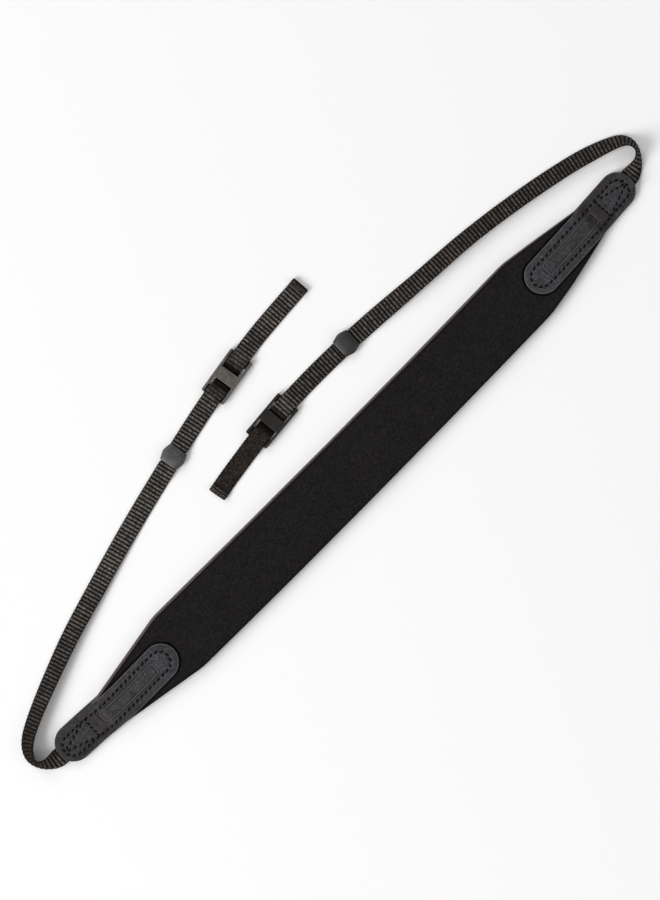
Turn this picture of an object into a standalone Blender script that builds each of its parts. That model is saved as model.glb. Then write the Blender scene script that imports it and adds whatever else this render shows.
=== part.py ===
"""Camera neck strap, lying flat on a table.

A foam pad narrows to a neck at each end. Two leather layers are sewn over and under each neck, and a narrow
webbing leaves between them. Each webbing rises on its edge where it turns back, then lies down again and runs
flat through a keeper and a ladder slide to a folded hem.

Units are metres, +Z is up and the table is at z = 0. The origin is under the middle of the strap.
"""

import math

import bmesh
import bpy
import numpy as np
from mathutils import Vector

MM = 0.001
GAP = 0.3 * MM  # between pieces that touch on the real strap

# Pad
PAD_CENTRE = (10.9 * MM, -7.0 * MM)
PAD_TURN = math.radians(45.3)  # of its length, from +X
PAD_THICK = 5.0 * MM
PAD_SEWN = 3.0 * MM  # thickness where it is squeezed between the leathers
PAD_ROUND = 0.6 * MM  # radius along its cut edges
PAD_RAMP = 16.0 * MM  # over which its underside rises to the back leather
PAD_STEP = 6.0 * MM  # between the sections that aren't in the table
# A row for each section, in mm: the distance along, how far the edge on the table is to the left and to the
# right, and how far the cut leans in from there to the top face on each side.
PAD_SECTIONS = (
    # along    left   right  lean left, right
    (-190.0, 9.0, 9.1, 0.6, 0.4),
    (-175.0, 11.5, 11.7, 0.8, 0.5),
    (-150.0, 15.7, 15.9, 1.2, 0.7),
    (-131.5, 18.8, 19.1, 1.5, 0.8),
    (-100.0, 18.5, 19.6, 1.5, 0.8),
    (-60.0, 18.0, 20.0, 1.4, 0.7),
    (0.0, 17.7, 20.1, 1.2, 0.6),
    (60.0, 17.9, 19.8, 0.9, 0.5),
    (100.0, 18.3, 19.4, 0.8, 0.4),
    (131.0, 18.7, 18.9, 0.7, 0.4),
    (150.0, 15.8, 15.9, 0.6, 0.4),
    (175.0, 11.7, 10.4, 0.5, 0.4),
    (190.0, 9.2, 8.9, 0.4, 0.4),
)

# Leather tabs
LEATHER = 1.5 * MM
BACK_MARGIN = 0.4 * MM  # how far the back leather shows past the face leather
TAB_PAD_END = 12.5 * MM  # from a tab's middle to the pad's end inside it
TAB_WEBBING_END = 17.0 * MM  # from a tab's middle to the webbing's end inside it
TAB_DIP = 15.0 * MM  # from a tab's middle to where the face leather is lowest, between the two
TAB_FLAT = 0.9 * MM  # how far the face leather stays level past the webbing's edges
TAB_SHARES = (-1, -0.8, -0.6, -0.3, 0, 0.3, 0.6, 0.8, 1)  # of the half width, for the face leather's points
TAB_FOLDS = (-20, 0, 9, 12.2, 12.8, 13.4, 14, 14.6, 15.2, 15.8, 16.4, 17, 22)  # its sections, in mm
TABS = {
    # name: (middle x, y, direction out of the pad in degrees, length, half width, then how far the middle of
    # the face leather and of the back leather lies to the left of the line between the tab's ends)
    "tab_1": (-113.5, -132.3, 223.0, 82.6, 9.8, 1.4, 0.3),
    "tab_2": (131.2, 115.8, 48.3, 79.4, 9.5, 0.0, 0.0),
}

# Webbing
WEB_WIDE = 10.2 * MM
WEB_THICK = 1.3 * MM
WEB_EDGE = 0.35 * MM  # chamfer of its selvages
HEM_LONG = 4.0 * MM
HEM_FOLD = 0.8 * MM  # radius of the fold, at the middle of the cloth
# A row for each place on a webbing's way, in mm: x, y and the tilt in degrees, which raises its left edge.
# Each starts inside its tab, whose end is at the third row, and finishes at the tip of its tail.
ROUTES = {
    "webbing_1": (
        # x, y, tilt
        (-125.4, -144.4, 0.0),
        (-135.2, -153.5, 0.0),
        (-144.5, -162.0, 0.0),
        (-146.5, -163.5, -30.0),
        (-149.9, -165.3, -52.0),
        (-156.2, -165.4, -75.0),
        (-158.8, -163.4, -64.0),
        (-160.4, -159.9, -53.0),
        (-160.7, -152.0, -45.0),
        (-141.8, -105.2, -23.0),
        (-123.9, -71.3, -10.0),
        (-102.4, -33.2, 0.0),
        (-68.1, 22.0, 0.0),
        (-55.3, 40.0, 0.0),
        (-40.7, 60.1, 0.0),
        (-16.3, 88.8, 0.0),
    ),
    "webbing_2": (
        (142.6, 128.5, 0.0),
        (150.1, 137.0, 0.0),
        (158.5, 146.6, 0.0),
        (160.0, 148.5, 32.0),
        (162.3, 154.3, 66.0),
        (162.1, 159.6, 77.0),
        (161.1, 161.7, 73.0),
        (157.0, 164.7, 57.0),
        (152.7, 164.7, 48.0),
        (135.2, 156.9, 29.0),
        (109.2, 140.7, 26.0),
        (74.6, 115.3, 28.0),
        (45.0, 89.7, 20.0),
        (15.4, 64.1, 0.0),
        (-11.0, 38.9, 0.0),
        (-31.6, 16.3, 0.0),
        (-53.2, -12.0, 0.0),
        (-60.4, -22.3, 0.0),
    ),
}
ROUTE_STEPS = 24  # of the smooth curve between two rows
TILT_EVEN = 1.5 * MM  # how far each way the tilt is evened out
EXIT_RAMP = 9.0 * MM  # over which a webbing comes down from its tab
FINE_STEP = 1.3 * MM  # between a webbing's sections where it turns or climbs
WIDE_STEP = 4.5 * MM  # and elsewhere

# Keepers, each on its webbing at a distance back from the tip of the tail
KEEPERS = {"keeper_1": ("webbing_1", 113.6 * MM), "keeper_2": ("webbing_2", 105.4 * MM)}
KEEPER_LONG = 10.6 * MM
KEEPER_WIDE = 13.2 * MM  # at its middle
KEEPER_NECK = 11.5 * MM  # at its two ends
KEEPER_HIGH = 4.1 * MM  # at its middle
KEEPER_CROWN = 0.94  # height of its ends, as a share of its middle's
KEEPER_WALL = 1.0 * MM  # below the webbing
KEEPER_EDGE = 0.7 * MM
KEEPER_REST = 1.0 * MM  # how far the webbing stays level outside a keeper
KEEPER_RAMP = 8.0 * MM  # over which it then comes down to the table

# Ladder slides
BUCKLES = {"buckle_1": ("webbing_1", 62.3 * MM), "buckle_2": ("webbing_2", 48.4 * MM)}
BUCKLE_LONG = 26.8 * MM
BUCKLE_WIDE = 14.2 * MM
BUCKLE_HIGH = 3.2 * MM
RAIL = 1.2 * MM
BAR = 5.0 * MM  # length of each end bar along the webbing
BAR_HIGH = 1.5 * MM
PLATE = 6.8 * MM  # length of the middle plate along the webbing
PLATE_UNDER = 1.75 * MM
PLATE_REST = 0.2 * MM  # how far the webbing stays down outside the plate
BUCKLE_EDGE = 0.25 * MM
BUCKLE_RAMP = 9.0 * MM  # over which the webbing comes down to the table outside a slide


def smooth(t):
    """0 up to t = 0 and 1 from t = 1, with a soft start and stop."""
    t = min(max(t, 0.0), 1.0)
    return t * t * (3 - 2 * t)


def remove_everything():
    for old in list(bpy.data.objects):
        bpy.data.objects.remove(old, do_unlink=True)


def collection(name):
    made = bpy.data.collections.new(name)
    bpy.context.scene.collection.children.link(made)
    return made


def material(name, colour, roughness, metallic=0.0):
    made = bpy.data.materials.new(name)
    made.use_nodes = True
    shader = made.node_tree.nodes["Principled BSDF"]
    shader.inputs["Base Color"].default_value = (*colour, 1.0)
    shader.inputs["Roughness"].default_value = roughness
    shader.inputs["Metallic"].default_value = metallic
    return made


def add_object(name, bm, finish, parent, place=(0, 0, 0), turn=0.0):
    """An object from bm, placed and turned about Z, under the strap's empty."""
    mesh = bpy.data.meshes.new(name)
    bmesh.ops.recalc_face_normals(bm, faces=bm.faces)
    bm.to_mesh(mesh)
    bm.free()
    mesh.shade_smooth()
    mesh.set_sharp_from_angle(angle=math.radians(40))
    mesh.materials.append(finish)
    made = bpy.data.objects.new(name, mesh)
    made.location = place
    made.rotation_euler = (0, 0, turn)
    made.parent = parent
    strap.objects.link(made)
    return made


def bevel(target, width, segments=1):
    made = target.modifiers.new("edges", "BEVEL")
    made.width = width
    made.segments = segments
    made.limit_method = "ANGLE"
    made.angle_limit = math.radians(50)
    return made


def cut(target, cutter):
    made = target.modifiers.new("cut", "BOOLEAN")
    made.operation = "DIFFERENCE"
    made.solver = "EXACT"
    made.object = cutter


def box(size, centre):
    """A box of that size as a bmesh, with its middle at centre."""
    bm = bmesh.new()
    bmesh.ops.create_cube(bm, size=1.0)
    bmesh.ops.scale(bm, vec=size, verts=bm.verts)
    bmesh.ops.translate(bm, vec=centre, verts=bm.verts)
    return bm


def add_cutter(name, bm, parent):
    made = add_object(name, bm, cutter_finish, parent)
    strap.objects.unlink(made)
    cutters.objects.link(made)
    made.display_type = "WIRE"
    made.hide_render = True
    return made


def slab(stations, shares, rule):
    """A closed slab: a grid of sections, made solid, whose points the rule moves.

    The rule takes the distance along, the share of the half width to the left, and whether the point is
    on the top face.
    """
    bm = bmesh.new()
    rows, columns = len(stations) - 1, len(shares) - 1
    bmesh.ops.create_grid(bm, x_segments=rows, y_segments=columns, size=1.0)
    under = list(bm.faces)
    grown = bmesh.ops.extrude_face_region(bm, geom=under)
    raised = {v for v in grown["geom"] if isinstance(v, bmesh.types.BMVert)}
    for v in bm.verts:
        row = round((v.co.x + 1) / 2 * rows)
        column = round((v.co.y + 1) / 2 * columns)
        v.co = rule(stations[row], shares[column], v in raised)
    return bm


# ---- the pad ----


def pad_section(along):
    """How far the edges of the table side are to the left and right, and the two leans."""
    rows = np.array(PAD_SECTIONS) * MM
    return [float(np.interp(along, rows[:, 0], rows[:, k])) for k in (1, 2, 3, 4)]


def pad_ends():
    """How far the pad reaches along its own line at its two ends."""
    line = Vector((math.cos(PAD_TURN), math.sin(PAD_TURN)))
    middle = Vector(PAD_CENTRE)
    reach = {n: (Vector((x, y)) * MM - middle).dot(line) for n, (x, y, *_) in TABS.items()}
    return reach["tab_1"] - TAB_PAD_END, reach["tab_2"] + TAB_PAD_END


def pad_heights(along):
    """The underside and the top of the pad at a distance along it."""
    low, high = pad_ends()
    lengths = [row[3] * MM for row in TABS.values()]
    sewn_from = (low + TAB_PAD_END + lengths[0] / 2, high - TAB_PAD_END - lengths[1] / 2)
    near = max(sewn_from[0] - along, along - sewn_from[1]) / PAD_RAMP + 1
    under = (LEATHER + GAP) * smooth(near)
    top = PAD_THICK + (LEATHER + GAP + PAD_SEWN - PAD_THICK) * smooth(near)
    return under, top


def add_pad():
    low, high = pad_ends()
    rows = [row[0] * MM for row in PAD_SECTIONS if low + MM < row[0] * MM < high - MM]
    even = np.linspace(low, high, round((high - low) / PAD_STEP)).tolist()
    stations = sorted(rows + [s for s in even if all(abs(s - row) > 2 * MM for row in rows)])

    def rule(along, share, top):
        left, right, lean_left, lean_right = pad_section(along)
        edges = (left - lean_left * top, -right + lean_right * top)
        side = (edges[0] + edges[1]) / 2 + share * (edges[0] - edges[1]) / 2
        under, over = pad_heights(along)
        return (along, side, over if top else under)

    made = add_object("neck_pad", slab(stations, (-1, 0, 1), rule), foam, frame, (*PAD_CENTRE, 0), PAD_TURN)
    bevel(made, PAD_ROUND, 2)


# ---- the tabs ----


def tab_half(along, length, radius):
    """Half the width, at a distance along from its middle, of a tab with round ends."""
    past = max(abs(along) - (length / 2 - radius), 0.0)
    return math.sqrt(max(radius**2 - past**2, 0.0))


def tab_stations(length, radius, between):
    """Distances along a tab, with the steps of a turn at its round ends."""
    straight = length / 2 - radius
    cap = [straight + radius * math.cos(math.radians(a)) for a in (4, 16, 30, 45, 60, 75, 90)]
    return sorted([-c for c in cap] + [s * MM for s in between] + cap)


def face_height(along, across, edge):
    """The underside of the face leather: over the pad, down between pad and webbing, over the webbing."""
    on_pad = LEATHER + PAD_SEWN + 2 * GAP
    on_webbing = LEATHER + WEB_THICK + 2 * GAP
    on_back = LEATHER + GAP
    beside = WEB_WIDE / 2 + TAB_FLAT
    side = smooth((abs(across) - beside) / (edge - beside - GAP))
    down = smooth((along - TAB_PAD_END + GAP) / (TAB_DIP - TAB_PAD_END + GAP))
    up = smooth((along - TAB_DIP) / (TAB_WEBBING_END - TAB_DIP - GAP))
    middle = on_back + (on_webbing - on_back) * up * (1 - side)
    return on_pad + (middle - on_pad) * down


def add_layer(name, tab, bow, margin, between, shares, under):
    """One leather layer of a tab, whose underside's height comes from the distances along and across."""
    x, y, turn, length, half = (tab[0] * MM, tab[1] * MM, math.radians(tab[2]), tab[3] * MM, tab[4] * MM)
    length, half = length + 2 * margin, half + margin

    def rule(along, share, top):
        side = share * tab_half(along, length, half)
        bend = bow * MM * (1 + math.cos(2 * math.pi * along / length)) / 2
        return (along, side + bend, under(along, side, half) + LEATHER * top)

    made = slab(tab_stations(length, half, between), shares, rule)
    add_object(name, made, leather, frame, (x, y, 0), turn)


def back_height(*_):
    """The underside of the back leather, which lies on the table."""
    return 0.0


def add_tabs():
    for name, tab in TABS.items():
        face_bow, back_bow = tab[5:]
        add_layer(name + "_face", tab, face_bow, 0.0, TAB_FOLDS, TAB_SHARES, face_height)
        add_layer(name + "_back", tab, back_bow, BACK_MARGIN, (-20, 0, 20), (-1, 0, 1), back_height)


# ---- the webbings ----


def spline(rows):
    """A smooth curve through the rows' points (centripetal Catmull-Rom), as an array of x and y."""
    p = np.array(rows)[:, :2] * MM
    p = np.vstack([2 * p[0] - p[1], p, 2 * p[-1] - p[-2]])
    out = []
    for a, b, c, d in zip(p, p[1:], p[2:], p[3:]):
        knots = np.cumsum([0.0, *(np.linalg.norm(n - m) ** 0.5 for m, n in ((a, b), (b, c), (c, d)))])
        for t in np.linspace(knots[1], knots[2], ROUTE_STEPS, endpoint=False):
            ab = a + (b - a) * (t - knots[0]) / (knots[1] - knots[0])
            bc = b + (c - b) * (t - knots[1]) / (knots[2] - knots[1])
            cd = c + (d - c) * (t - knots[2]) / (knots[3] - knots[2])
            abc = ab + (bc - ab) * (t - knots[0]) / (knots[2] - knots[0])
            bcd = bc + (cd - bc) * (t - knots[1]) / (knots[3] - knots[1])
            out.append(abc + (bcd - abc) * (t - knots[1]) / (knots[2] - knots[1]))
    out.append(p[-2])
    return np.array(out)


class Route:
    """A webbing's way over the table, read by the distance along it."""

    def __init__(self, name):
        rows = ROUTES[name]
        self.points = spline(rows)
        lengths = np.linalg.norm(np.diff(self.points, axis=0), axis=1)
        self.along = np.concatenate([[0.0], np.cumsum(lengths)])
        self.tilts = [row[2] for row in rows]
        self.rows = self.along[::ROUTE_STEPS]
        self.length = self.along[-1]
        self.keeper = self.length - next(b for w, b in KEEPERS.values() if w == name)
        self.buckle = self.length - next(b for w, b in BUCKLES.values() if w == name)
        self.exit = float(self.rows[2])  # at the end of its tab

    def at(self, s):
        """The point of the table that the webbing is over."""
        return [float(np.interp(s, self.along, self.points[:, k])) for k in (0, 1)]

    def tilt(self, s):
        """The tilt in radians."""
        near = np.interp(s + np.linspace(-TILT_EVEN, TILT_EVEN, 7), self.rows, self.tilts)
        return math.radians(float(np.mean(near)))

    def heading(self, s):
        """Its direction over the table, from +X, measured over 1 mm."""
        s = min(max(s, 0.5 * MM), self.length - 0.5 * MM)
        (x0, y0), (x1, y1) = self.at(s - 0.5 * MM), self.at(s + 0.5 * MM)
        return math.atan2(y1 - y0, x1 - x0)

    def lift(self, s):
        """How far the webbing is held off the table by its tab, keeper and slide."""
        tab = (LEATHER + GAP) * (1 - smooth((s - self.exit) / EXIT_RAMP))
        off = abs(s - self.keeper) - KEEPER_LONG / 2 - KEEPER_REST
        keeper = (KEEPER_WALL + GAP) * (1 - smooth(off / KEEPER_RAMP))
        off = abs(s - self.buckle)
        plate_edge, bar_edge = PLATE / 2 + PLATE_REST, BUCKLE_LONG / 2 - BAR
        climb = smooth((off - plate_edge) / (bar_edge - plate_edge))
        fall = 1 - smooth((off - BUCKLE_LONG / 2) / BUCKLE_RAMP)
        return max(tab, keeper, (BAR_HIGH + GAP) * climb * fall)

    def section(self, s):
        """The middle of the webbing and its half width as a vector to the left."""
        x, y = self.at(s)
        tilt = self.tilt(s)
        turn = self.heading(s)
        left = Vector((-math.sin(turn) * math.cos(tilt), math.cos(turn) * math.cos(tilt), math.sin(tilt)))
        rest = (WEB_WIDE * abs(math.sin(tilt)) + WEB_THICK * math.cos(tilt)) / 2
        return Vector((x, y, rest + self.lift(s))), left * (WEB_WIDE / 2)

    def stations(self):
        """Distances along, close together at the turn, the keeper and the slide."""
        s, out = 0.0, []
        end = self.length - HEM_FOLD - WEB_THICK / 2
        while s < end:
            out.append(s)
            busy = self.exit - 6 * MM < s < self.exit + 40 * MM
            busy |= abs(s - self.buckle) < BUCKLE_LONG / 2 + BUCKLE_RAMP
            busy |= abs(s - self.keeper) < KEEPER_LONG / 2 + KEEPER_RAMP
            s += FINE_STEP if busy else WIDE_STEP
        if end - out[-1] < FINE_STEP / 2:
            out.pop()
        return [*out, end]


def add_webbing(name):
    route = Route(name)
    sections = [route.section(s) for s in route.stations()]
    tip, left = sections[-1]
    turn = route.heading(route.length)
    ahead = Vector((math.cos(turn), math.sin(turn), 0))
    for k in range(1, 7):  # the fold of the hem
        a = math.pi * k / 6
        rise = Vector((0, 0, HEM_FOLD * (1 - math.cos(a))))
        sections.append((tip + ahead * (HEM_FOLD * math.sin(a)) + rise, left))
    back = HEM_LONG - HEM_FOLD - WEB_THICK / 2
    sections.append((sections[-1][0] - ahead * back, left))

    bm = bmesh.new()
    rows = [[bm.verts.new(middle + half * k) for k in (1, -1)] for middle, half in sections]
    for (a, b), (c, d) in zip(rows, rows[1:]):
        bm.faces.new((a, b, d, c))
    made = add_object(name, bm, cloth, frame)
    wall = made.modifiers.new("cloth", "SOLIDIFY")
    wall.thickness = WEB_THICK
    wall.offset = 0.0
    bevel(made, WEB_EDGE)
    return route


# ---- what slides on the webbings ----


def add_keeper(name, route, back):
    s = route.length - back
    x, y = route.at(s)
    stations = np.linspace(-KEEPER_LONG / 2, KEEPER_LONG / 2, 9).tolist()

    def rule(along, share, top):
        swell = 1 - (2 * along / KEEPER_LONG) ** 2
        half = (KEEPER_NECK + (KEEPER_WIDE - KEEPER_NECK) * swell) / 2
        high = KEEPER_HIGH * (KEEPER_CROWN + (1 - KEEPER_CROWN) * swell)
        return (along, half * share, high if top else 0.0)

    made = add_object(name, slab(stations, (-1, 0, 1), rule), rubber, frame, (x, y, 0), route.heading(s))
    high = WEB_THICK + 2 * GAP
    hole = box((2 * KEEPER_LONG, WEB_WIDE + 2 * GAP, high), (0, 0, KEEPER_WALL + high / 2))
    bevel(made, KEEPER_EDGE, 2)
    cut(made, add_cutter(name + "_hole", hole, made))


def add_buckle(name, route, back):
    s = route.length - back
    x, y = route.at(s)
    body = box((BUCKLE_LONG, BUCKLE_WIDE, BUCKLE_HIGH), (0, 0, BUCKLE_HIGH / 2))
    made = add_object(name, body, plastic, frame, (x, y, 0), route.heading(s))
    bevel(made, BUCKLE_EDGE, 2)
    inner = BUCKLE_WIDE - 2 * RAIL
    slot_from, slot_to = PLATE / 2, BUCKLE_LONG / 2 - BAR
    for side, end in ((-1, "a"), (1, "b")):
        size = (slot_to - slot_from, inner, 3 * BUCKLE_HIGH)
        slot = box(size, (side * (slot_from + slot_to) / 2, 0, 0))
        cut(made, add_cutter(f"{name}_slot_{end}", slot, made))
        size = (2 * BAR, inner, BUCKLE_HIGH)
        above = box(size, (side * (slot_to + BAR), 0, BAR_HIGH + BUCKLE_HIGH / 2))
        cut(made, add_cutter(f"{name}_above_bar_{end}", above, made))
    under = box((1.5 * PLATE, inner, 2 * PLATE_UNDER), (0, 0, 0))
    cut(made, add_cutter(f"{name}_under_plate", under, made))


def centre(parent):
    """Moves the whole strap so that the origin is under the middle of its box."""
    bpy.context.view_layer.update()
    ready = bpy.context.evaluated_depsgraph_get()
    corners = []
    for made in strap.objects:
        if made.type == "MESH":
            shape = made.evaluated_get(ready)
            corners += [made.matrix_world @ v.co for v in shape.data.vertices]
    for k in (0, 1):
        values = [c[k] for c in corners]
        parent.location[k] = -(min(values) + max(values)) / 2


remove_everything()
strap = collection("camera_neck_strap")
cutters = collection("cutters")
frame = bpy.data.objects.new("strap_frame", None)
strap.objects.link(frame)

foam = material("foam pad, black", (0.014, 0.013, 0.014), 0.9)
leather = material("leather, dark grey", (0.045, 0.045, 0.052), 0.55)
cloth = material("webbing, dark brown-grey", (0.05, 0.045, 0.04), 0.8)
rubber = material("soft keeper, grey", (0.06, 0.06, 0.065), 0.6)
plastic = material("moulded plastic, black", (0.04, 0.038, 0.037), 0.4)
cutter_finish = material("cutter", (0.8, 0.2, 0.2), 0.5)

add_pad()
add_tabs()
routes = {name: add_webbing(name) for name in ROUTES}
for name, (webbing, back) in KEEPERS.items():
    add_keeper(name, routes[webbing], back)
for name, (webbing, back) in BUCKLES.items():
    add_buckle(name, routes[webbing], back)
centre(frame)
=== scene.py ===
import math

import bmesh
import bpy
import numpy as np
from mathutils import Matrix, Vector, noise


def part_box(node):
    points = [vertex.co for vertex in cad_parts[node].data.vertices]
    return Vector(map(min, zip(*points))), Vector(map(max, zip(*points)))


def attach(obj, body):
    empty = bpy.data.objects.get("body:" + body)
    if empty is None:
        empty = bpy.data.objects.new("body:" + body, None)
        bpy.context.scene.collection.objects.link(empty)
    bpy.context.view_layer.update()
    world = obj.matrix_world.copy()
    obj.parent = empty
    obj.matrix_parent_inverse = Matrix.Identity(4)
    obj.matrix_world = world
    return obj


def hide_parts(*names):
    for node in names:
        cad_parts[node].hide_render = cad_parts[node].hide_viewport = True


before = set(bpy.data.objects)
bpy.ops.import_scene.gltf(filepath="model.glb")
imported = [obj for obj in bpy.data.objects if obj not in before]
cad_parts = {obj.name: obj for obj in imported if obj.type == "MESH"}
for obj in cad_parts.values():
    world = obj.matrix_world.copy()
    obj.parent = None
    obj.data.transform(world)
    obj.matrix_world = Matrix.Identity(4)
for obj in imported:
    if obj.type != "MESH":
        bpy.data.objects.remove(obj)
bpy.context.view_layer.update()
mm = 0.001


def smooth(t):  # 0 up to t = 0, 1 from t = 1, soft at both ends
    t = np.clip(t, 0.0, 1.0)
    return t * t * (3 - 2 * t)


def rise(x, start, over):  # 0 up to the start and 1 when it is over, both in mm
    return smooth((x - start * mm) / (over * mm))


def hump(distance, width):  # 1 at a distance of 0, fading out over about twice the width
    return np.exp(-((distance / width) ** 2))


def mix(m, n, t, low, high):  # m at t = low and n at t = high
    return m + (n - m) * (t - low) / (high - low)


def turned(x, y, angle):  # as seen from axes turned by the angle
    return x * math.cos(angle) + y * math.sin(angle), y * math.cos(angle) - x * math.sin(angle)


def distances(points):  # along a line, up to each of its points
    return np.concatenate([[0.0], np.cumsum(np.linalg.norm(np.diff(points, axis=0), axis=1))])


def waviness(x, y, size, seed):  # soft noise from -1 to 1 over arrays of places
    flat = [noise.noise(Vector((a / size, b / size, seed))) for a, b in zip(np.ravel(x), np.ravel(y))]
    return np.array(flat).reshape(np.shape(x))


def deselectAll():
    if bpy.context.object and bpy.context.object.mode != "OBJECT":
        bpy.ops.object.mode_set(mode="OBJECT")
    bpy.ops.object.select_all(action="DESELECT")


def pickOnly(*objects):
    deselectAll()
    for each in objects:
        each.select_set(True)
    bpy.context.view_layer.objects.active = objects[0]


def addToScene(piece):
    bpy.context.scene.collection.objects.link(piece)


def selectAll():
    bpy.ops.mesh.select_all(action="SELECT")


def startShape(name, add, **how):  # a primitive in edit mode, with all of it selected
    deselectAll()
    add(**how)
    piece = bpy.context.object
    piece.name = name
    bpy.ops.object.transform_apply(location=False, rotation=True, scale=False)
    bpy.ops.object.mode_set(mode="EDIT")
    selectAll()
    return piece


def endShape():
    bpy.ops.object.mode_set(mode="OBJECT")


def applyModifier(piece, kind, **settings):
    made = piece.modifiers.new(kind.lower(), kind)
    for key, value in settings.items():
        setattr(made, key, value)
    pickOnly(piece)
    bpy.ops.object.modifier_apply(modifier=made.name)


def roundEdges(piece, width, sharpAngle):
    angle = math.radians(sharpAngle)
    applyModifier(piece, "BEVEL", width=width, segments=3, limit_method="ANGLE", angle_limit=angle)


def finishPiece(piece, slotName, *nodes):
    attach(piece, "root")
    if nodes:
        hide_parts(*nodes)
    print("made", piece.name, len(piece.data.polygons), "faces")


def placeHard(piece, x, y, turn, finish, sharpAngle):  # the object ends at the origin, with its place in its mesh
    piece.rotation_euler = (0, 0, turn)
    piece.location = (x, y, 0)
    pickOnly(piece)
    bpy.ops.object.transform_apply(location=True, rotation=True, scale=True)
    piece.data.materials.clear()
    piece.data.materials.append(finish)
    bpy.ops.object.shade_smooth_by_angle(angle=math.radians(sharpAngle))


def gridObject(name, points, uv, slots, finishes, caps=False):
    # quads from points[row][column], the last column joined to the first, and caps on the first and last rows
    rows, columns = points.shape[:2]
    r, c = np.meshgrid(np.arange(rows - 1), np.arange(columns), indexing="ij")
    nextC = (c + 1) % columns
    quads = np.stack([r * columns + c, r * columns + nextC, (r + 1) * columns + nextC, (r + 1) * columns + c], -1)
    faces = quads.reshape(-1, 4).tolist()
    index = slots[: rows - 1].reshape(-1).tolist()
    if caps:
        faces += [list(range(columns)), [(rows - 1) * columns + k for k in range(columns)]]
        index += [int(slots[0, 0]), int(slots[-1, 0])]
    mesh = bpy.data.meshes.new(name)
    mesh.from_pydata(points.reshape(-1, 3).tolist(), [], faces)
    for finish in finishes:
        mesh.materials.append(finish)
    mesh.polygons.foreach_set("material_index", index)
    corners = np.zeros(len(mesh.loops), np.int32)
    mesh.loops.foreach_get("vertex_index", corners)
    layer = mesh.uv_layers.new(name="cloth")
    layer.data.foreach_set("uv", uv.reshape(-1, 2)[corners].astype(np.float32).ravel())
    piece = bpy.data.objects.new(name, mesh)
    addToScene(piece)
    return piece


def setMask(piece, label, values):  # one value for each point, which its finish reads
    data = piece.data.attributes.new(label, "FLOAT", "POINT").data
    data.foreach_set("value", np.asarray(values, np.float32).ravel())


def tidyMesh(piece, merge=0.002 * mm, sharpAngle=None):
    bm = bmesh.new()
    bm.from_mesh(piece.data)
    bmesh.ops.remove_doubles(bm, verts=bm.verts, dist=merge)
    bmesh.ops.dissolve_degenerate(bm, edges=bm.edges, dist=merge / 2)
    bmesh.ops.recalc_face_normals(bm, faces=bm.faces)
    bm.to_mesh(piece.data)
    bm.free()
    piece.data.shade_smooth()
    if sharpAngle:
        piece.data.set_sharp_from_angle(angle=math.radians(sharpAngle))


class Nodes:
    tree = None  # the node tree that is being filled, set by newGroup and newFinish


def feed(socket, value):
    if isinstance(value, bpy.types.NodeSocket):
        Nodes.tree.links.new(value, socket)
    else:
        socket.default_value = value


def node(kind, inputs=None, **settings):
    made = Nodes.tree.nodes.new("ShaderNode" + kind)
    for key, value in settings.items():
        setattr(made, key, value)
    for key, value in (inputs or {}).items():
        feed(made.inputs[key], value)
    return made


def maths(operation, a, b=0.0):
    return node("Math", {0: a, 1: b}, operation=operation).outputs[0]


def times(a, b):
    return maths("MULTIPLY", a, b)


def plus(a, b):
    return maths("ADD", a, b)


def less(a, b):
    return maths("SUBTRACT", a, b)


def arches(value, width=1.0):  # 0 at each multiple of the width, 1 halfway between
    return maths("ABSOLUTE", maths("SINE", times(value, math.pi / width)))


def remap(value, fromLow, fromHigh, toLow=0.0, toHigh=1.0):
    return node("MapRange", {0: value, 1: fromLow, 2: fromHigh, 3: toLow, 4: toHigh}).outputs[0]


def noiseAt(place, scale, detail=2.0):
    return node("TexNoise", {"Vector": place, "Scale": scale, "Detail": detail}).outputs[0]


def mask(label):
    return node("Attribute", attribute_name=label).outputs["Fac"]


def rgba(colour):  # from a grey, three values or a socket
    if isinstance(colour, float):
        return (colour, colour, colour, 1)
    return (*colour, 1) if isinstance(colour, tuple) else colour


def blendColour(share, a, b, how="MIX"):
    sockets = {0: share, 6: rgba(a), 7: rgba(b)}
    return node("Mix", sockets, data_type="RGBA", blend_type=how).outputs[2]


def ramp(share, *stops):
    made = node("ValToRGB", {"Fac": share})
    line = made.color_ramp.elements
    while len(line) < len(stops):
        line.new(0.5)
    for element, (place, colour) in zip(line, stops):
        element.position = place
        element.color = rgba(colour)
    return made.outputs["Color"]


def tinted(colour, *tints):  # multiplied by low where a share is 0 and by high where it is 1, tint by tint
    for share, low, high in tints:
        colour = blendColour(1.0, colour, ramp(share, (0.0, low), (1.0, high)), "MULTIPLY")
    return colour


def coated(colour, *coats):  # covered by each coat's colour, as far as its mask times an amount says
    for share, amount, coat in coats:
        colour = blendColour(times(share, amount), colour, coat)
    return colour


def newGroup(name, inputs, outputs):
    Nodes.tree = tree = bpy.data.node_groups.new(name, "ShaderNodeTree")
    for label in inputs:
        kind = "NodeSocketVector" if label == "Vector" else "NodeSocketFloat"
        tree.interface.new_socket(name=label, in_out="INPUT", socket_type=kind)
    for label in outputs:
        tree.interface.new_socket(name=label, in_out="OUTPUT", socket_type="NodeSocketFloat")
    return tree, tree.nodes.new("NodeGroupInput").outputs, tree.nodes.new("NodeGroupOutput").inputs


def useGroup(group, *values):
    made = Nodes.tree.nodes.new("ShaderNodeGroup")
    made.node_tree = group
    for socket, value in zip(made.inputs, values):
        feed(socket, value)
    return made.outputs


def mottleGroup():
    tree, given, out = newGroup("uneven patches", ("Vector", "Size"), ("Value",))
    scale = maths("DIVIDE", 1.0, given["Size"])
    cloud = node("TexNoise", {"Vector": given["Vector"], "Scale": scale, "Detail": 3.0, "Roughness": 0.6})
    feed(out["Value"], remap(cloud.outputs[0], 0.3, 0.7))
    return tree


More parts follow.
